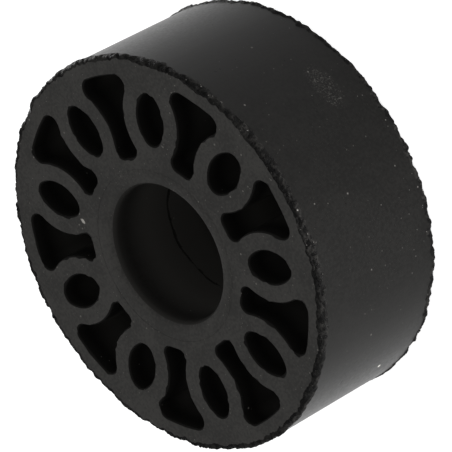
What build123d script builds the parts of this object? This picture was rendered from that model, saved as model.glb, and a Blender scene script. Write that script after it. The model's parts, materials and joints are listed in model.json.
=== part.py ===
from build123d import *
import math
import os

# Perforated rubber vibration mount, vulcanised in one piece.
#
# A short, thick-walled ring of rubber takes a bolt or spindle through its bore. Between
# its hub and its rim run nine oval cores and, between each two of them, nine keystone
# cores. They pass right through and leave a net of rubber with a web of even thickness
# round every oval, so that the hub can give sideways, in twist and along the bore.
#
# The ring stands on its lower end face. +Z runs up the bore, the origin is in the middle
# of the lower face, and the first oval lies on +X. All sizes are in millimetres.

# Ring
outer_diameter = 60.0
length = 23.5
bore_diameter = 21.0

# Bore mouths: a shallow dish in each end face rolls over into the bore
dish_width = 2.6
dish_angle = 10.0
mouth_radius = 1.0

# Rims: the moulding flash is trimmed off both ends at a slope
trim_width = 1.1
trim_height = 1.0

# Net of rubber between the hub and the rim. Each web bites into the hub and into the
# rim by the bite below, which is what holds the net together. The tips of an oval are
# rounded to this share of half its narrower way.
hub_thickness = 4.35
rim_thickness = 2.85
core_count = 9
oval_width = 4.9
tip_share = 0.65
web_thickness = 2.95
web_bite = 0.75

# Rounding of the keystone cores' corners, and the share of its arc a corner may take
rim_corner_radius = 1.5
hub_corner_radius = 1.2
corner_share = 0.25

# Slack for telling which edges of a body lie on a given circle
touch = 0.001

# Places that follow from the sizes above
outer_radius = outer_diameter / 2
bore_radius = bore_diameter / 2
dish_radius = bore_radius + dish_width
dish_depth = dish_width * math.tan(math.radians(dish_angle))
hub_radius = bore_radius + hub_thickness
rim_radius = outer_radius - rim_thickness
core_circle_radius = (hub_radius + rim_radius) / 2
oval_length = rim_radius - hub_radius - 2 * (web_thickness - web_bite)


def oval(web=0.0):
    """The outline of an oval core, or of that core with a web round it, from four arcs.

    Two flat arcs cross in a lens, whose tips are rounded. The web's outline has the same
    four centres, so it keeps an even distance.
    """
    half_length = max(oval_length, oval_width) / 2
    half_width = min(oval_length, oval_width) / 2
    tip_radius = tip_share * half_width
    tip_reach = half_length - tip_radius
    flat_radius = (tip_reach**2 + half_width**2 - tip_radius**2) / (2 * (half_width - tip_radius))
    flat_centre = flat_radius - half_width
    with BuildSketch(mode=Mode.PRIVATE) as outline:
        with Locations((0, flat_centre)):
            Circle(flat_radius + web)
        with Locations((0, -flat_centre)):
            Circle(flat_radius + web, mode=Mode.INTERSECT)
        fillet(outline.vertices(), radius=tip_radius + web)
    across = 90 if oval_width > oval_length else 0
    return Rot(Z=across) * outline.sketch


def edges_on(body, radius):
    """The upright edges of the body that stand on a circle about the bore."""
    return body.edges().filter_by(Axis.Z).filter_by(
        lambda edge: abs(math.hypot(edge.center().X, edge.center().Y) - radius) < touch)


def corner_limit(sketch, radius):
    """The largest rounding that the keystone cores' arcs on that circle leave room for."""
    arcs = sketch.edges().filter_by(GeomType.CIRCLE).filter_by(
        lambda arc: abs(arc.radius - radius) < touch)
    return corner_share * min(arc.length for arc in arcs)


oval_core = oval()
webbed_oval = oval(web=web_thickness)

# Keystone cores: what the webs round the ovals leave open between the hub and the rim
with BuildPart() as keystone_cores:
    with BuildSketch() as keystones:
        Circle(rim_radius)
        Circle(hub_radius, mode=Mode.SUBTRACT)
        with PolarLocations(core_circle_radius, core_count):
            add(webbed_oval, mode=Mode.SUBTRACT)
    extrude(amount=length)
    rim_corner = min(rim_corner_radius, corner_limit(keystones, rim_radius))
    fillet(edges_on(keystone_cores, rim_radius), radius=rim_corner)
    hub_corner = min(hub_corner_radius, corner_limit(keystones, hub_radius))
    fillet(edges_on(keystone_cores, hub_radius), radius=hub_corner)

with BuildPart() as rubber_ring:
    # The ring is turned from its half section: dished bore mouths and trimmed rims
    with BuildSketch(Plane.XZ) as half_section:
        with BuildLine():
            Polyline(
                (bore_radius, dish_depth),
                (dish_radius, 0),
                (outer_radius - trim_width, 0),
                (outer_radius, trim_height),
                (outer_radius, length - trim_height),
                (outer_radius - trim_width, length),
                (dish_radius, length),
                (bore_radius, length - dish_depth),
                close=True,
            )
        make_face()
        mouths = half_section.vertices().group_by(Axis.X)[0]
        fillet(mouths, radius=mouth_radius)
    revolve(axis=Axis.Z)

    # Oval cores, long axis outwards, and the keystone cores between them
    with BuildSketch():
        with PolarLocations(core_circle_radius, core_count):
            add(oval_core)
    extrude(amount=length, mode=Mode.SUBTRACT)
    add(keystone_cores.part, mode=Mode.SUBTRACT)

os.makedirs("parts", exist_ok=True)
rubber_ring.part.label = "rubber_ring"
export_step(rubber_ring.part, "parts/rubber_ring.step")
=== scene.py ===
# %% [markdown]
# # A perforated rubber vibration mount
#
# The real part is one moulding of hard black rubber: a thick ring with a plain bore and, between
# its hub and its rim, a net of webs round oval and keystone openings. It could be shown as the bare
# CAD body in a dark material, but then it would look like a drawing. What makes it look like rubber
# is what the mould and the trimming knife left behind: rims where the flash was torn off, softened
# edges round each opening, a seam half-way down the bore, dust and scuffs. This lesson turns a ring
# of that kind, cuts the CAD body's own openings through it, and then tears, seams and dusts it.

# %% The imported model
import json
import math
import random
from collections import namedtuple

import bpy
from mathutils import Matrix, Vector, noise


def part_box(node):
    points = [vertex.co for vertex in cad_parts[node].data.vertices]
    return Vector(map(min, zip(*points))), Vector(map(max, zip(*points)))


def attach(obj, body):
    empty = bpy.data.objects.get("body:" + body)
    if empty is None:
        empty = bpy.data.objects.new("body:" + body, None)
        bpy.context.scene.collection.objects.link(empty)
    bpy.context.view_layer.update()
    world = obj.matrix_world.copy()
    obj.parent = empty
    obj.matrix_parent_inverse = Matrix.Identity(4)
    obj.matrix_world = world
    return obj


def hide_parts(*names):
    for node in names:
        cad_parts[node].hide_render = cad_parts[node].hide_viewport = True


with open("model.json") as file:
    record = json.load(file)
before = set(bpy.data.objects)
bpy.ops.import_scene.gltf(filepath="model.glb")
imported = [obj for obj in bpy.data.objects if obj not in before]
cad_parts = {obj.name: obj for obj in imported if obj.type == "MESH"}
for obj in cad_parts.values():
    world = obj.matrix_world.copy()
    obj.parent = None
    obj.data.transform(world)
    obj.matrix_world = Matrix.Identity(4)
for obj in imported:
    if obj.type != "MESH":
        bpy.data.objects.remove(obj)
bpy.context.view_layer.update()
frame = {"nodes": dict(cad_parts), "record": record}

# %% Sizes read from the model
MM = 0.001
TOUCHING = 0.001 * MM
CAD_NODE = "rubber_ring"
lowest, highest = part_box(CAD_NODE)
outer_radius = highest.x
length = highest.z - lowest.z
mounts = {mount["name"]: mount for mount in frame["record"]["mounts"]}
bore_radius = mounts["bore"]["dims"]["r_mm"] * MM
print(f"ring {2 * outer_radius / MM:.1f} mm across, {length / MM:.1f} mm long, "
      f"bore {2 * bore_radius / MM:.1f} mm")

# %% [markdown]
# ## Small helpers
#
# Operators act on whatever is selected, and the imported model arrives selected. So each step starts
# by clearing the selection, and inside edit mode the faces or edges to work on are picked by where
# they are. These few helpers do that, so that the steps below can say only what they change.

# %% Helpers for objects
def only(piece):
    """Selects one object alone and makes it the active one."""
    bpy.ops.object.select_all(action="DESELECT")
    piece.select_set(True)
    bpy.context.view_layer.objects.active = piece
    return piece


def add_modifier(piece, kind, **settings):
    """Adds a modifier with those settings and applies it."""
    only(piece)
    modifier = piece.modifiers.new(kind.title(), kind)
    for name, value in settings.items():
        setattr(modifier, name, value)
    bpy.ops.object.modifier_apply(modifier=modifier.name)


def settle(piece):
    """Moves an object's place, turn and size into its mesh, so that it sits at the origin."""
    only(piece)
    bpy.ops.object.transform_apply(location=True, rotation=True, scale=True)
    return piece


# %% Helpers for edit mode
def edit(piece, mode="FACE"):
    """Opens a piece in edit mode with nothing selected."""
    only(piece)
    bpy.ops.object.mode_set(mode="EDIT")
    bpy.ops.mesh.select_mode(type=mode)
    bpy.ops.mesh.select_all(action="DESELECT")


def close_edit():
    """Goes back to object mode, which writes the edited mesh."""
    bpy.ops.object.mode_set(mode="OBJECT")


def pick(piece, part, wanted):
    """Selects, in edit mode, the polygons or edges of a piece for which wanted(element) is true."""
    bpy.ops.object.mode_set(mode="OBJECT")
    for element in getattr(piece.data, part):
        element.select = wanted(element)
    bpy.ops.object.mode_set(mode="EDIT")


# %% Helpers for places on the ring
def reach(point):
    """How far a point is from the bore's axis."""
    return math.hypot(point[0], point[1])


def bearing(point):
    """A point's angle round the bore's axis, from +X."""
    return math.atan2(point[1], point[0])


def level(piece, edge):
    """Whether an edge lies level, as the edges of a ring's loops do."""
    start, end = (piece.data.vertices[v].co for v in edge.vertices)
    return abs(start.z - end.z) < TOUCHING


# %% [markdown]
# ## The blank
#
# On the real ring the rims, faces and bore were formed by a turned mould. The blank copies that: a
# cylinder of many narrow columns, whose two end faces are inset ring by ring. Each inset is one
# step of the half section: the flat face, a hairline where the mould's core pin met the face, the
# shallow dish and the roll-over into the bore. A spin of a drawn section would give the same
# shape, but insets treat both ends at once and keep every ring a clean loop to work on later.

# %% Sizes of the turned blank
COLUMNS = 1080
TRIM_ROWS = 11
MOUTH_ROWS = 9
SEAM_ROWS = 9
ROUND = 0.5             # a bevel with this profile is a quarter circle
trim_width = 1.1 * MM
dish_radius = bore_radius + 2.6 * MM
dish_lean = math.radians(10)
mouth_radius = 1.15 * MM
hairline_width = 0.10 * MM
hairline_depth = 0.07 * MM
hairline_climb = 0.7    # the share of that depth that its inner side climbs back
seam_reach = 0.55 * MM  # how far the seam's loops lie above and below the middle
print(f"half section: trim {trim_width / MM:.2f} mm, dish from {dish_radius / MM:.2f} mm, "
      f"mouth {mouth_radius / MM:.2f} mm")


# %% Insets at both ends
def end_faces(polygon):
    """True for the two big faces that still close the blank's ends."""
    return len(polygon.vertices) == COLUMNS


def inset_ends(blank, inwards, sunk):
    """Insets both end faces by one ring, which ends up sunk that far below the last one."""
    pick(blank, "polygons", end_faces)
    bpy.ops.mesh.inset(thickness=inwards, depth=-sunk)


def sink_ends(blank):
    """Insets the hairline, the dish and the mouth, and returns how far down the mouth ends."""
    inset_ends(blank, outer_radius - trim_width - dish_radius - hairline_width, 0)
    inset_ends(blank, hairline_width / 2, hairline_depth)
    inset_ends(blank, hairline_width / 2, -hairline_depth * hairline_climb)

    dish_run = dish_radius - bore_radius - mouth_radius * (1 - math.sin(dish_lean))
    dish_drop = dish_run * math.tan(dish_lean)
    inset_ends(blank, dish_run, dish_drop)
    angle = dish_lean
    for row in range(MOUTH_ROWS):
        following = dish_lean + (math.pi / 2 - dish_lean) * (row + 1) / MOUTH_ROWS
        inset_ends(blank, mouth_radius * (math.sin(following) - math.sin(angle)),
                   mouth_radius * (math.cos(angle) - math.cos(following)))
        angle = following
    return (dish_drop + mouth_radius * math.cos(dish_lean)
            + (1 - hairline_climb) * hairline_depth)


# %% Turning the blank
def open_bore(blank, sunk):
    """Runs both mouths down to where the seam starts, and joins them by the seam's loops."""
    inset_ends(blank, 0, length / 2 - seam_reach - sunk)
    pick(blank, "polygons", end_faces)
    bpy.ops.mesh.delete(type="FACE")
    pick(blank, "edges", lambda edge: level(blank, edge) and all(
        abs(blank.data.vertices[v].co.z - length / 2) < seam_reach + TOUCHING
        for v in edge.vertices))
    bpy.ops.mesh.bridge_edge_loops(number_cuts=SEAM_ROWS)


def turn_blank():
    """The ring before its openings are cut: rims, faces, dishes, mouths and bore."""
    bpy.ops.mesh.primitive_cylinder_add(vertices=COLUMNS, radius=outer_radius, depth=length,
                                        end_fill_type="NGON", location=(0, 0, length / 2))
    blank = settle(bpy.context.object)
    blank.name = "moulded_ring"
    edit(blank, "EDGE")
    pick(blank, "edges", lambda edge: level(blank, edge))
    bpy.ops.mesh.bevel(offset=trim_width, segments=TRIM_ROWS, profile=ROUND, affect="EDGES")
    bpy.ops.mesh.select_mode(type="FACE")
    open_bore(blank, sink_ends(blank))
    close_edit()
    return blank


ring = turn_blank()
print(f"blank: {len(ring.data.polygons)} faces, narrowest "
      f"{min(reach(v.co) for v in ring.data.vertices) / MM:.2f} mm from the axis")

# %% [markdown]
# ## The openings
#
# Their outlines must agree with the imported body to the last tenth, so they aren't drawn again: the
# upright walls of the CAD body's own openings are copied, and only their upper loops are kept.
# Extruded down through the ring, level by level, the loops become cutters for a Boolean. Near each
# end face the cutter flares, so that the edge it cuts is softly rounded like a moulded one. A Bevel
# after the cut would do that too, but the flare can also be pushed out or in here and there, which
# leaves a small nick or a lip of flash.

# %% Levels and flare of a cutter
edge_radius = 0.34 * MM
EDGE_ROWS = 5
overshoot = 1.0 * MM


def cutter_levels():
    """The heights at which a cutter has a loop, from above the upper face to below the lower."""
    dips = [edge_radius * (1 - math.cos(math.pi / 2 * row / EDGE_ROWS))
            for row in range(EDGE_ROWS + 1)]
    upper = [length + overshoot] + [length - dip for dip in dips]
    return upper + [length - height for height in reversed(upper)]


def flare(height):
    """How far a cutter stands outside its opening at that height."""
    dip = min(height, length - height)
    if dip >= edge_radius:
        return 0.0
    left = edge_radius - max(dip, 0.0)
    return edge_radius - math.sqrt(edge_radius ** 2 - left ** 2)


print(f"cutter: {len(cutter_levels())} levels, flared by {edge_radius / MM:.2f} mm at each end")


# %% Nicks and lips
nick_reach = 0.30 * MM
nick_spacing = 1.0 * MM
nick_threshold = 0.30
nick_gain = 3
END_SHIFT = 3           # gives the upper face other nicks than the lower


def nick(point):
    """A nick (outwards) or a lip of flash (inwards) at a few places along an opening's edge."""
    place = Vector((point.x, point.y, END_SHIFT * round(point.z / length)))
    value = noise.noise(place / nick_spacing)
    excess = max(abs(value) - nick_threshold, 0.0) / (1 - nick_threshold)
    return math.copysign(min(excess * nick_gain, 1.0), value) * nick_reach


def flare_cutters(cutters):
    """Pushes the cutters' loops out near both end faces, a little more or less at a nick."""
    normals = [vertex.normal.copy() for vertex in cutters.data.vertices]
    for vertex, normal in zip(cutters.data.vertices, normals):
        outward = Vector((normal.x, normal.y, 0)).normalized()
        wide = flare(vertex.co.z)
        vertex.co += outward * (wide + nick(vertex.co) * wide / edge_radius)


# %% Cutters from the CAD body's own walls
UPRIGHT = 0.1           # a wall's normal has at most this much z
ANY_NUMBER = 0          # fills holes whatever their number of sides
net_inside = dish_radius + 0.5 * MM
net_outside = outer_radius - trim_width


def opening_outlines():
    """A copy of the CAD body that has nothing left but the upper outlines of its openings."""
    outlines = bpy.data.objects.new("opening_cutters", frame["nodes"][CAD_NODE].data.copy())
    bpy.context.collection.objects.link(outlines)
    edit(outlines)
    bpy.ops.mesh.select_all(action="SELECT")
    bpy.ops.mesh.remove_doubles(threshold=TOUCHING)
    pick(outlines, "polygons", lambda face: abs(face.normal.z) > UPRIGHT
         or not net_inside < reach(face.center) < net_outside)
    bpy.ops.mesh.delete(type="FACE")
    bpy.ops.mesh.select_mode(type="EDGE")
    pick(outlines, "edges", lambda edge: not all(
        outlines.data.vertices[v].co.z > length - TOUCHING for v in edge.vertices))
    bpy.ops.mesh.delete(type="EDGE")
    return outlines


def draw_down(outlines):
    """Extrudes the outlines down through the ring and closes both their ends."""
    bpy.ops.mesh.select_all(action="SELECT")
    bpy.ops.transform.translate(value=(0, 0, overshoot))
    levels = cutter_levels()
    for upper, lower in zip(levels, levels[1:]):
        bpy.ops.mesh.extrude_region_move(TRANSFORM_OT_translate={"value": (0, 0, lower - upper)})
    bpy.ops.mesh.select_all(action="SELECT")
    bpy.ops.mesh.fill_holes(sides=ANY_NUMBER)
    bpy.ops.mesh.select_all(action="SELECT")
    bpy.ops.mesh.normals_make_consistent(inside=False)
    close_edit()
    return outlines


# %% Cutting the openings
cutters = draw_down(opening_outlines())
flare_cutters(cutters)
print(f"cutters: {len(cutters.data.vertices)} points")
add_modifier(ring, "BOOLEAN", operation="DIFFERENCE", object=cutters, solver="MANIFOLD")
bpy.data.objects.remove(cutters)
print(f"cut ring: {len(ring.data.polygons)} faces")

# %% [markdown]
# ## The torn rims
#
# A mould for a ring like this leaves a skin of flash round both rims. It is trimmed by hand, in
# short straight strokes, and hard rubber tears as much as it cuts. So the rims are neither round
# nor smooth: flats a few millimetres long meet in blunt corners, their surface is lumpy with ragged
# borders, and the knife was held flatter on one side of the ring than on the other. A Displace
# modifier could roughen the rim, but it knows nothing of strokes. Moving the vertices in code does:
# every vertex of the bevel knows its share of the way from the face to the wall, and is laid on the
# cut that the strokes leave at its bearing.

# %% Trimming strokes
FULL_TURN = 360
LOWER, UPPER = -1, 1
stroke_spacing = (7.0, 14.0)
stroke_depths = {LOWER: (0.50 * MM, 0.95 * MM), UPPER: (0.75 * MM, 1.22 * MM)}
stroke_seeds = {LOWER: 1, UPPER: 2}


def strokes_round(end):
    """The bearings and depths of the trimming strokes round one rim."""
    chance = random.Random(stroke_seeds[end])
    strokes = []
    degrees = 0.0
    while degrees < FULL_TURN - stroke_spacing[0]:
        strokes.append((math.radians(degrees), chance.uniform(*stroke_depths[end])))
        degrees += chance.uniform(*stroke_spacing)
    return strokes


def cut_depth(strokes, angle):
    """How much the deepest of the straight strokes takes off the rim at that bearing."""
    return max(depth - outer_radius * (1 - math.cos(angle - centre)) for centre, depth in strokes)


rim_strokes = {end: strokes_round(end) for end in (LOWER, UPPER)}
print("strokes:", len(rim_strokes[LOWER]), "round the lower rim,", len(rim_strokes[UPPER]),
      "round the upper rim")

# %% Borders of the cut
FACE_SEED, WALL_SEED = 1, 2
SEED_STEPS = (7.3, 3.1, 5.7)
border_waves = ((3.0 * MM, 0.26 * MM), (1.1 * MM, 0.50 * MM), (0.45 * MM, 0.20 * MM))
face_raggedness = 0.8
least_face_border = 0.12 * MM
least_wall_border = 0.3 * MM
least_face_share = 0.42
most_face_share = 0.88
knife_bearing = math.radians(305)


def ragged(point, waves, seed=0):
    """A sum of noises, each with its own wavelength and height."""
    shift = Vector([seed * step for step in SEED_STEPS])
    return sum(height * noise.noise(point / wave + shift) for wave, height in waves)


def cut_borders(on_rim, angle, depth):
    """How far in on the face, and how far down the wall, a cut of that depth reaches."""
    flatness = 0.5 + 0.5 * math.cos(angle - knife_bearing)
    face_share = least_face_share + (most_face_share - least_face_share) * flatness
    on_face = depth * face_share + ragged(on_rim, border_waves, FACE_SEED) * face_raggedness
    on_wall = depth + ragged(on_rim, border_waves, WALL_SEED)
    return max(on_face, least_face_border), max(on_wall, least_wall_border)


# %% Crumbs of torn rubber
crumb_sizes = ((3.0 * MM, 0.42 * MM), (1.1 * MM, 0.30 * MM), (0.5 * MM, 0.11 * MM))
crumb_middle = 0.42     # the usual distance to a crumb's centre, in crumb sizes
crumb_swirl = 0.9 * MM
crumb_bend = 0.7 * MM
SWIRL_SHIFTS = (Vector((0, 0, 0)), Vector((9, 0, 0)), Vector((0, 9, 0)))


def crumbs(point):
    """Rounded crumbs of torn rubber with sharp creases between them."""
    swirl = Vector([noise.noise(point / crumb_swirl + shift) for shift in SWIRL_SHIFTS])
    bent = point + swirl * crumb_bend
    return sum(height * (crumb_middle - noise.voronoi(bent / size)[0][0])
               for size, height in crumb_sizes)


# %% Tearing the rims
bulge = 0.42 * MM
proud = 0.34 * MM       # the most that flash stands out past the wall
upward_share = 0.75     # how much a lump rises for what it stands out
calm_wave = 7 * MM
calm_share = 0.75       # stretches of rough and of calmer cut follow each other
least_calm = 0.1
rim_slack = 0.01 * MM


def torn_place(point, end, share):
    """Where a point of the bevel goes that has that share of the way from face to wall."""
    angle = bearing(point)
    on_rim = Vector((outer_radius * math.cos(angle), outer_radius * math.sin(angle), end * length))
    depth = cut_depth(rim_strokes[end], angle)
    face_border, wall_border = cut_borders(on_rim, angle, depth)
    calm = max(calm_share + noise.noise(on_rim / calm_wave), least_calm)
    lump = (crumbs(point) * calm + bulge) * math.sqrt(math.sin(math.pi * share))
    radius = min(outer_radius - face_border * (1 - share) + lump, outer_radius + proud)
    height = min(length / 2 - wall_border * share + lump * upward_share, length / 2)
    return Vector((radius * math.cos(angle), radius * math.sin(angle),
                   length / 2 + end * height))


def tear_rims(piece):
    """Lays both bevelled rims on the strokes' cuts, and returns the vertices that it moved."""
    torn = set()
    for end in (LOWER, UPPER):
        for vertex in piece.data.vertices:
            across = reach(vertex.co) - (outer_radius - trim_width)
            up = end * (vertex.co.z - length / 2) - (length / 2 - trim_width)
            if min(across, up) >= -rim_slack:
                share = math.atan2(max(across, 0.0), max(up, 0.0)) / (math.pi / 2)
                vertex.co = torn_place(vertex.co, end, share)
                torn.add(vertex.index)
    return torn


torn_vertices = tear_rims(ring)
print(f"torn rims: {len(torn_vertices)} vertices moved")

# %% [markdown]
# ## The seam in the bore
#
# The core pin of the mould is in two halves that meet half-way down, and the rubber that crept into
# their joint left a low, wandering ridge with a crack beside it. It could be a bump in the
# material, but it shows in the outline of the bore's wall, so it is real: the nine loops that the
# bridge left there are pushed in and out by noise.

# %% The seam
seam_height = 0.05 * MM
seam_depth = 0.11 * MM
seam_half_width = 0.26 * MM
RIDGE_PLACE, CRACK_PLACE = 1.2, -0.5    # above and below the middle, in half widths
wander_waves = ((4 * MM, 0.70 * MM),)
strength_waves = ((1.4 * MM, 0.9), (0.4 * MM, 0.3))
seam_strength = 0.55
least_strength = 0.45
bore_slack = 0.05 * MM


def swell(across, centre):
    """A rounded swelling, 1 at its centre and fading within about one half width of the seam."""
    return math.exp(-((across - centre) ** 2))


def shape_seam(piece):
    """Pushes the loops half-way down the bore into a ragged ridge beside a narrow crack."""
    moved = 0
    for vertex in piece.data.vertices:
        above_middle = vertex.co.z - length / 2
        if (reach(vertex.co) > bore_radius + bore_slack
                or abs(above_middle) > seam_reach - TOUCHING):
            continue
        angle = bearing(vertex.co)
        on_bore = Vector((math.cos(angle), math.sin(angle), 0)) * bore_radius
        across = (above_middle - ragged(on_bore, wander_waves)) / seam_half_width
        strength = max(seam_strength + ragged(on_bore, strength_waves), least_strength)
        radius = bore_radius + strength * (seam_depth * swell(across, CRACK_PLACE)
                                           - seam_height * swell(across, RIDGE_PLACE))
        vertex.co.x = radius * math.cos(angle)
        vertex.co.y = radius * math.sin(angle)
        moved += 1
    return moved


seam_vertices = shape_seam(ring)
print(f"seam: {seam_vertices} vertices moved")

# %% [markdown]
# ## Smooth shading and zones
#
# The shading is smooth except across real corners. The big flat faces have to stay flat right up to
# the rounded edges beside them, and weighted normals nearly do that: a large face pulls the normals
# of its corners towards its own. But the Boolean left long thin faces between the openings, which
# are too small to pull hard, so on the flat of both ends the normals are set upright as well. Then
# each face is given to the zone of the ring that it belongs to, because the moulded faces, the
# outer wall, the torn rims, the cored walls, the bore and its seam differ in sheen, and the cored
# walls, the bore and the seam's crack also carry painted light and shade.

# %% Smooth shading
crease_angle = math.radians(38)
face_pull = 80

only(ring)
bpy.ops.object.shade_smooth_by_angle(angle=crease_angle)
add_modifier(ring, "WEIGHTED_NORMAL", keep_sharp=True, weight=face_pull)
print("shaded smooth up to", round(math.degrees(crease_angle)), "degrees")

# %% Zones
ZONES = ("moulded_face", "outer_wall", "torn_rim", "cored_wall", "bore_wall", "seam_crack")
torn_limit = 2.0 * MM
wall_inside = outer_radius - trim_width / 2
dish_inside = bore_radius + mouth_radius / 4
dish_outside = dish_radius + hairline_width
face_skin = 0.015 * MM
crack_skin = 0.03 * MM


def zone_of(polygon):
    """The index in ZONES of the zone that a face of the ring lies in."""
    depth = min(polygon.center.z, length - polygon.center.z)
    across = reach(polygon.center)
    if depth < torn_limit and all(v in torn_vertices for v in polygon.vertices):
        return ZONES.index("torn_rim")
    if across > wall_inside:
        return ZONES.index("outer_wall")
    in_dish = dish_inside < across < dish_outside
    if depth < face_skin or (in_dish and depth < mouth_radius):
        return ZONES.index("moulded_face")
    if across > dish_radius:
        return ZONES.index("cored_wall")
    in_seam = abs(polygon.center.z - length / 2) < seam_reach
    return ZONES.index("seam_crack" if in_seam and across > bore_radius + crack_skin
                       else "bore_wall")


zone_list = [zone_of(polygon) for polygon in ring.data.polygons]
print("faces in each zone:", {zone: zone_list.count(i) for i, zone in enumerate(ZONES)})

# %% Flat shading of the end faces
LYING_FLAT = 0.9        # a flat face's normal has at least this much z


def flatten_shading(piece):
    """Keeps the shading of both end faces exactly flat, right up to the rounded edges."""
    mesh = piece.data
    flattened = 0
    normals = [corner.vector.copy() for corner in mesh.corner_normals]
    for polygon, zone in zip(mesh.polygons, zone_list):
        if zone == ZONES.index("torn_rim") or abs(polygon.normal.z) < LYING_FLAT:
            continue
        for corner in polygon.loop_indices:
            point = mesh.vertices[mesh.loops[corner].vertex_index].co
            if min(point.z, length - point.z) < TOUCHING and reach(point) > dish_radius:
                normals[corner] = Vector((0, 0, math.copysign(1, polygon.normal.z)))
                flattened += 1
    mesh.normals_split_custom_set(normals)
    return flattened


flat_corners = flatten_shading(ring)
print(f"flat faces: {flat_corners} corners set upright")

# %% [markdown]
# ## Shader maths as expressions
#
# The finishes are built from masks: where the dust lies, where the skin is scuffed. Wiring those by
# hand takes a Math node for every sign, so a small class stands for a socket, and an expression on
# it adds the nodes. One method adds every other kind of node.

# %% The wire class
class Wire:
    """A socket that values flow out of; an expression on wires adds the Math nodes it needs."""

    def __init__(self, socket):
        self.socket = socket

    def node(self, kind, settings=None, inputs=None, output=0):
        """Adds any node: its settings first, then the values or wires of its sockets."""
        tree = self.socket.id_data
        made = tree.nodes.new(kind)
        for name, value in (settings or {}).items():
            setattr(made, name, value)
        for name, value in (inputs or {}).items():
            if isinstance(value, Wire):
                tree.links.new(value.socket, made.inputs[name])
            else:
                made.inputs[name].default_value = value
        return Wire(made.outputs[output])

    def calculate(self, operation, first, second):
        """Adds the Math node of one operator."""
        return self.node("ShaderNodeMath", {"operation": operation}, {0: first, 1: second})

    def __add__(self, other):
        return self.calculate("ADD", self, other)

    def __sub__(self, other):
        return self.calculate("SUBTRACT", self, other)

    def __mul__(self, other):
        return self.calculate("MULTIPLY", self, other)

    def __truediv__(self, other):
        return self.calculate("DIVIDE", self, other)

    def __rsub__(self, other):
        return self.calculate("SUBTRACT", other, self)

    def __rtruediv__(self, other):
        return self.calculate("DIVIDE", other, self)

    __radd__ = __add__
    __rmul__ = __mul__


# %% [markdown]
# ## Masks and colours
#
# Every finish needs the same few things: a soft step between two values, noise of a stated
# wavelength, specks, and one colour laid over another. The specks are dust, and on the torn rims
# also painted glints. They could be real grains, but thousands of them would outweigh the ring,
# so they are cells of a Voronoi texture, of which only some hold a speck and each speck has its
# own size.

# %% Masks made of wires
SOFT, MEDIUM, CRISP = 2.0, 3.0, 4.0


def ramp(wire, low, high):
    """0 where the wire is below low, 1 above high, and a smooth step between."""
    return wire.node("ShaderNodeMapRange", {"interpolation_type": "SMOOTHSTEP"},
                     {"Value": wire, "From Min": low, "From Max": high})


def grain(place, wavelength, detail=SOFT):
    """Noise from 0 to 1 with that wavelength in metres."""
    return place.node("ShaderNodeTexNoise", None,
                      {"Vector": place, "Scale": 1 / wavelength, "Detail": detail})


def larger(first, second):
    """The larger of two wires."""
    return first.node("ShaderNodeMath", {"operation": "MAXIMUM"}, {0: first, 1: second})


def absolute(wire):
    """A wire's value without its sign."""
    return wire.node("ShaderNodeMath", {"operation": "ABSOLUTE"}, {0: wire})


# %% Specks
speck_share = 0.6       # of the texture's cells, how many hold a speck
speck_edge = 0.35       # the soft part of a speck's radius


def specks(place, size, density):
    """Round specks up to that radius, with so many to the square metre of surface."""
    scale = (density / (2 * size * speck_share)) ** (1 / 3)
    cells = {"Vector": place, "Scale": scale}
    near = place.node("ShaderNodeTexVoronoi", None, cells, "Distance") / scale
    cell_colour = place.node("ShaderNodeTexVoronoi", None, cells, "Color")
    chance = place.node("ShaderNodeSeparateColor", None, {"Color": cell_colour}, "Red")
    own_size = size * ramp(chance, 1 - speck_share, 1.0)
    return ramp(own_size - near, 0.0, size * speck_edge)


# %% Colours
COLOUR_A, COLOUR_B, COLOUR_RESULT = 6, 7, 2     # the Mix node's sockets for colours
SLIGHTLY_WARM, NEUTRAL = 0.04, 0.0


def blend(mask, plain, marked):
    """The plain colour where the mask is 0 and the marked one where it is 1."""
    return mask.node("ShaderNodeMix", {"data_type": "RGBA"},
                     {"Factor": mask, COLOUR_A: plain, COLOUR_B: marked}, COLOUR_RESULT)


def grey(tone, warmth=SLIGHTLY_WARM):
    """A grey of that lightness: with warmth it has a little more red and a little less blue."""
    return (tone * (1 + warmth), tone, tone * (1 - 2 * warmth), 1.0)


# %% [markdown]
# ## Marks of handling
#
# The ring has lain in a bin with others, so it has a pale fleck on its face, a light scuff on its
# wall and a few specks and rubbed places. Each could be painted by hand, but a place, a size and a
# tone are enough: the mark is a small ellipsoid round a point of the surface, with its border bent
# by one noise and its inside worn through by another.

# %% A mark's mask
Mark = namedtuple("Mark", "centre size breakup tone rise")
border_grain = 0.35 * MM
border_bend = 1.2
border_fade = (0.6, 1.0)    # where the mark fades out, in half sizes from its centre
wear_grain = 0.22 * MM
wear_steps = (0.5, 0.68)


def worn_spot(place, mark):
    """Where a mark lies, broken up by grain as far as its breakup says."""
    offset = place.node("ShaderNodeVectorMath", {"operation": "SUBTRACT"},
                        {0: place, 1: mark.centre})
    shape = offset.node("ShaderNodeVectorMath", {"operation": "DIVIDE"},
                        {0: offset, 1: mark.size})
    far = shape.node("ShaderNodeVectorMath", {"operation": "LENGTH"}, {0: shape}, "Value")
    bent_far = far + (grain(place, border_grain) - 0.5) * border_bend
    worn = ramp(grain(place, wear_grain, CRISP), *wear_steps)
    return (1 - ramp(bent_far, *border_fade)) * (1 - mark.breakup * (1 - worn))


# %% The ring's marks
def at(radius, degrees, height):
    """A point of the ring, from its reach in mm, its bearing and its height in mm."""
    angle = math.radians(degrees)
    return Vector((radius * math.cos(angle), radius * math.sin(angle), height)) * MM


def half_size(x, y, z):
    """A mark's half size along each axis, in mm."""
    return Vector((x, y, z)) * MM


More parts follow.
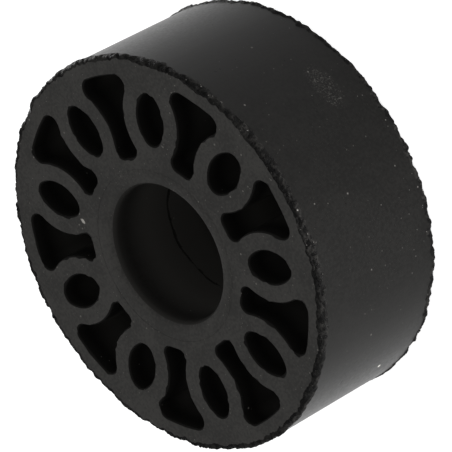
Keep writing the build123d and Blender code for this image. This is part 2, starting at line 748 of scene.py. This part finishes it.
top = length / MM
WHOLE, WORN = 0.0, 1.0
face_marks = (
    Mark(at(16.2, 125.3, top), half_size(0.36, 0.5, 0.4), WHOLE, 0.30, 1.0),
    Mark(at(12.2, 70.0, top), half_size(3.0, 2.4, 2.0), WORN, 0.035, 0.2),
    Mark(at(22.5, 12.0, top), half_size(1.8, 1.2, 1.0), WORN, 0.035, 0.2),
)
wall_marks = (
    Mark(at(30.0, 3.3, 6.5), half_size(1.6, 4.2, 2.2), WORN, 0.026, 0.3),
    Mark(at(30.0, -82.3, 16.2), half_size(0.55, 0.5, 0.32), WHOLE, 0.001, -4.0),
    Mark(at(30.0, -87.1, 6.7), half_size(0.35, 0.5, 0.4), WHOLE, 0.35, 2.0),
    Mark(at(30.0, 55.0, 12.0), half_size(1.0, 1.4, 0.9), WORN, 0.06, 0.3),
)
print("marks:", len(face_marks), "on the upper face,", len(wall_marks), "on the wall")

# %% [markdown]
# ## The rubber
#
# Carbon-black rubber reflects one or two percent of the light in its depth, and its skin adds a
# faint gloss. It never is one flat grey: the moulded face is mottled and flecked with dust, the
# wall shines where it turns away, and the torn rims are open rubber with pits and with patches of
# skin left on the side away from the knife. Some tones are painted light and shade, not the
# rubber's own: the pits' dark tone is painted shade, the specks on the torn rims are painted glints
# as well as dust, the seam's crack is painted darker, and the cored walls and the bore change tone
# with depth as painted light and shade, lighter at the mouth, darker a little way in and lighter
# again deep down, where little light reaches. Six materials could be built by hand, but then they
# would drift apart. All six share one recipe with different numbers, so that they are plainly one
# rubber.

# %% Tones that change over the surface
# The depths over which the painted light and shade of the cored walls and the bore changes.
painted_mouth_depths = (0.4 * MM, 3.2 * MM)
painted_deep_depths = (1.5 * MM, 8.0 * MM)
patch_grain = 1.3 * MM
patch_steps = (0.45, 0.53)
patch_fade = (-18 * MM, 6 * MM)


def painted_light_by_depth(place, colour, painted_mouth_tone, painted_deep_tone):
    """Painted light and shade: one tone at an opening's mouth, the plain colour below, another deep
    down.
    """
    from_middle = place.node("ShaderNodeSeparateXYZ", None, {0: place}, "Z") - length / 2
    depth = length / 2 - absolute(from_middle)
    deeper = blend(ramp(depth, *painted_deep_depths), colour, grey(painted_deep_tone))
    return blend(ramp(depth, *painted_mouth_depths), grey(painted_mouth_tone), deeper)


def skin_patches(place):
    """Where the knife left skin on a torn rim: in patches, on the side away from it."""
    towards_knife = Vector((math.cos(knife_bearing), math.sin(knife_bearing), 0))
    along = place.node("ShaderNodeVectorMath", {"operation": "DOT_PRODUCT"},
                       {0: place, 1: towards_knife}, "Value")
    return (ramp(grain(place, patch_grain, MEDIUM), *patch_steps)
            * (1 - ramp(along, *patch_fade)))


# %% Numbers of the recipe
cloud_wave, fine_wave, tooth_wave = 5.0 * MM, 0.45 * MM, 0.16 * MM
cloud_share = 0.35
mottle_steps = (0.38, 0.62)
fine_height, tooth_height, pit_height = 0.7, 0.3, 3    # in bump distances
small_speck, large_speck = 0.10 * MM, 0.20 * MM
SMALL_TO_LARGE = 8
# The pits on the torn rims are dents in the bump, and their dark tone is painted shade.
pit_grain = 0.9 * MM
pit_steps = (0.50, 0.60)
painted_pit_shade = 0.1          # as a share of the rubber's own tone
fine_matt, dust_matt = 0.22, 0.2
bump_distance = 0.06 * MM
PER_MM2 = 1.0 / MM ** 2


# %% The recipe
def rubber(name, tone, roughness, gloss, mottle, bump, dust_and_glints_per_mm2, dust_and_glint_tone=0.11, marks=(),
           pits=None, skin_tone=None, painted_depth_tones=None):
    """A black rubber: its tone, the gloss of its skin, its mottle and roughness, its specks of dust
    or painted glint, and any painted light and shade.
    """
    material = bpy.data.materials.new(name)
    material.use_nodes = True
    tree = material.node_tree
    shader = tree.nodes["Principled BSDF"]
    shader.inputs["Specular IOR Level"].default_value = gloss
    place = Wire(tree.nodes.new("ShaderNodeTexCoord").outputs["Object"])

    fine = grain(place, fine_wave, CRISP)
    cloudy = grain(place, cloud_wave, MEDIUM) * cloud_share + fine * (1 - cloud_share)
    colour = blend(ramp(cloudy, *mottle_steps), grey(tone * (1 - mottle)),
                   grey(tone * (1 + mottle)))
    height = fine * fine_height + grain(place, tooth_wave) * tooth_height
    if painted_depth_tones:
        colour = painted_light_by_depth(place, colour, *painted_depth_tones)
    if pits:
        # Pits: dents in the bump, darkened by painted shade in the hollows.
        pitted = ramp(grain(place, pit_grain, MEDIUM), *pit_steps) * pits
        colour = blend(pitted, colour, grey(tone * painted_pit_shade))
        height = height - pitted * pit_height
    if skin_tone:
        colour = blend(skin_patches(place), colour, grey(skin_tone))
    for mark in marks:
        worn = worn_spot(place, mark)
        colour = blend(worn, colour, grey(mark.tone))
        height = height + worn * mark.rise

    # Specks: dust, and on the torn rims also painted glints.
    density = dust_and_glints_per_mm2 * PER_MM2
    dust_and_glints = larger(specks(place, small_speck, density),
                   specks(place, large_speck, density / SMALL_TO_LARGE))
    colour = blend(dust_and_glints, colour, grey(dust_and_glint_tone))
    matt = roughness + (fine - 0.5) * fine_matt + dust_and_glints * dust_matt
    relief = height.node("ShaderNodeBump", None,
                         {"Height": height, "Strength": bump, "Distance": bump_distance})
    for wire, socket in ((colour, "Base Color"), (matt, "Roughness"), (relief, "Normal")):
        tree.links.new(wire.socket, shader.inputs[socket])
    return material


# %% The six finishes
finishes = {
    "moulded_face": dict(tone=0.0225, roughness=0.78, gloss=0.27, mottle=0.32, bump=0.6,
                         dust_and_glints_per_mm2=0.6, dust_and_glint_tone=0.09, marks=face_marks),
    "outer_wall": dict(tone=0.0038, roughness=0.33, gloss=0.082, mottle=0.20, bump=0.10,
                       dust_and_glints_per_mm2=0.16, dust_and_glint_tone=0.05, marks=wall_marks),
    # On the torn rims the dark pits are painted shade, and the specks are painted glints as well as
    # dust.
    "torn_rim": dict(tone=0.0064, roughness=0.85, gloss=0.11, mottle=0.95, bump=1.0,
                     dust_and_glints_per_mm2=0.7, dust_and_glint_tone=0.07, pits=0.95, skin_tone=0.0145),
    # The depth tones of the cored walls and the bore are painted light and shade: lighter at the
    # mouth, darker a little way in, and lighter deep down where little light reaches.
    "cored_wall": dict(tone=0.0032, roughness=0.60, gloss=0.04, mottle=0.3, bump=0.5,
                       dust_and_glints_per_mm2=0.03, painted_depth_tones=(0.0050, 0.050)),
    "bore_wall": dict(tone=0.0060, roughness=0.65, gloss=0.06, mottle=0.25, bump=0.5,
                      dust_and_glints_per_mm2=0.03, painted_depth_tones=(0.0170, 0.030)),
    # The crack is darker and more matt than the bore round it: painted shade in the crack.
    "seam_crack": dict(tone=0.012, roughness=0.9, gloss=0.02, mottle=0.3, bump=0.5,
                       dust_and_glints_per_mm2=0.01),
}
ring.data.materials.clear()
for zone in ZONES:
    ring.data.materials.append(rubber(zone, **finishes[zone]))
ring.data.polygons.foreach_set("material_index", zone_list)
print("finishes:", ", ".join(material.name for material in ring.data.materials))

# %% [markdown]
# ## Studio
#
# A part this dark shows best on a bright white table inside a light tent. The tent is an even white
# world, which could also be a dome of paper, but a world can't get in the way. The table gives off
# a little light of its own, which does what the tent's foot does: it lights the shadow away. Under
# the ring it hardly glows, or the light would leak up through the openings. Two low, wide softboxes
# stand about level with the ring's waist: they draw the long sheen on its wall, and as they stand
# below the upper face, they put no glare into the openings.

# %% Floor
floor_tone = 0.5
floor_roughness = 0.9
floor_glow = 0.76
covered_glow = 0.14
floor_size = 6.0
glow_starts = outer_radius - 1.5 * MM

bpy.ops.object.select_all(action="DESELECT")
bpy.ops.mesh.primitive_plane_add(size=floor_size, location=(0, 0, 0))
table = settle(bpy.context.object)
table.name = "studio_table"
paper = bpy.data.materials.new("white_paper")
paper.use_nodes = True
paper_shader = paper.node_tree.nodes["Principled BSDF"]
paper_shader.inputs["Base Color"].default_value = grey(floor_tone, NEUTRAL)
paper_shader.inputs["Roughness"].default_value = floor_roughness
paper_place = Wire(paper.node_tree.nodes.new("ShaderNodeTexCoord").outputs["Object"])
from_axis = paper_place.node("ShaderNodeVectorMath", {"operation": "LENGTH"},
                             {"Vector": paper_place}, "Value")
glow = blend(ramp(from_axis, glow_starts, outer_radius), grey(covered_glow), grey(1.0, NEUTRAL))
paper.node_tree.links.new(glow.socket, paper_shader.inputs["Emission Color"])
paper_shader.inputs["Emission Strength"].default_value = floor_glow
table.data.materials.append(paper)
print(f"table: {floor_size:.0f} m wide")

# %% Light tent
tent_strength = 0.80
world = bpy.data.worlds.new("light_tent")
bpy.context.scene.world = world
world.use_nodes = True
tent = world.node_tree.nodes["Background"]
tent.inputs["Color"].default_value = grey(1.0, NEUTRAL)
tent.inputs["Strength"].default_value = tent_strength
print("light tent of strength", tent_strength)

# %% Softboxes
softbox_size = (0.07, 0.020)
softbox_height = 0.0105
softboxes = {
    "near_softbox": ((0.14, -0.16, softbox_height), 0.80),
    "far_softbox": ((-0.10, 0.18, softbox_height), 0.85),
}


def softbox(name, place, power):
    """A low, wide area light that stands at place and faces the foot of the ring."""
    bpy.ops.object.light_add(type="AREA", location=place)
    lamp = bpy.context.object
    lamp.name = name
    lamp.rotation_euler = lamp.location.to_track_quat("Z", "Y").to_euler()
    lamp.data.shape = "RECTANGLE"
    lamp.data.size, lamp.data.size_y = softbox_size
    lamp.data.energy = power
    return lamp


for name, (place, power) in softboxes.items():
    print(softbox(name, place, power).name, f"of {power:.2f} W")

# %% [markdown]
# ## Camera
#
# The camera has a long lens and stands a little over half a metre away. It looks down at the ring
# at forty degrees and is rolled well over, so that the ring stands on edge in the view. A shorter
# lens near by would frame the ring as well, but it would swell the near rim. The Standard view
# transform is chosen because it shows the tones as they are, where the usual one would soften the
# step between the black ring and the white table.

# %% Camera
view_azimuth = math.radians(-16.60)
view_elevation = math.radians(39.33)
view_roll = math.radians(-118.41)
view_distance = 0.5776
view_target = Vector((0.773, -0.686, 11.75)) * MM
focal_length = 321.6
sensor_width = 36.0

away = Vector((math.cos(view_elevation) * math.cos(view_azimuth),
               math.cos(view_elevation) * math.sin(view_azimuth), math.sin(view_elevation)))
bpy.ops.object.camera_add(location=view_target + away * view_distance)
camera = bpy.context.object
level_turn = (-away).to_track_quat("-Z", "Y").to_matrix()
camera.rotation_euler = (level_turn @ Matrix.Rotation(view_roll, 3, "Z")).to_euler()
camera.data.lens = focal_length
camera.data.sensor_width = sensor_width
bpy.context.scene.camera = camera
bpy.context.scene.view_settings.view_transform = "Standard"
print(f"camera {view_distance:.2f} m away, lens {focal_length:.0f} mm")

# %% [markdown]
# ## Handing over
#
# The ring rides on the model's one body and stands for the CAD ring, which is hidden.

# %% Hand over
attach(ring, "root")
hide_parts(CAD_NODE)
